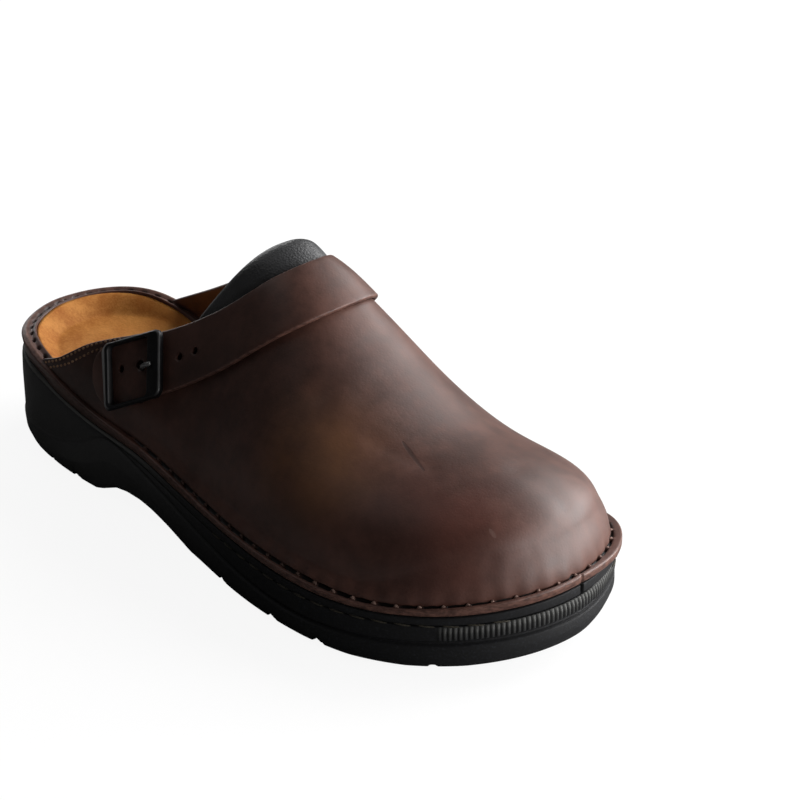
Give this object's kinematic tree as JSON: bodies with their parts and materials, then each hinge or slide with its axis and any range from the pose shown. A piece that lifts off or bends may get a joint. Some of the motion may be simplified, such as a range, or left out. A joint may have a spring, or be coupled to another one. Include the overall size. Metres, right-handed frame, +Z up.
{
  "type": "leather clog",
  "caption": "Closed-toe backless leather clog, right shoe, with a buckled instep strap, padded throat, cupped leather footbed, stitched welt and a treaded rubber sole.",
  "frame": {"origin": "middle of the shoe's bounding box, on the floor plane under the sole", "axes": "+X from heel to toe, +Y to the medial side of the right foot, +Z up"},
  "size_m": [0.282, 0.115, 0.1068],
  "materials": {
    "brown_leather": "oiled, waxy, slightly scuffed",
    "tan_leather": "matte",
    "black_leather": "grained",
    "black_rubber": "satin, moulded",
    "black_metal": "dark satin"
  },
  "bodies": {
    "root": {"outsole": "black_rubber", "midsole": "black_rubber", "welt": "brown_leather", "insole": "tan_leather", "upper": "brown_leather", "instep_pad": "black_leather", "strap": "brown_leather", "buckle": "black_metal", "prong": "black_metal"}
  },
  "joints": []
}
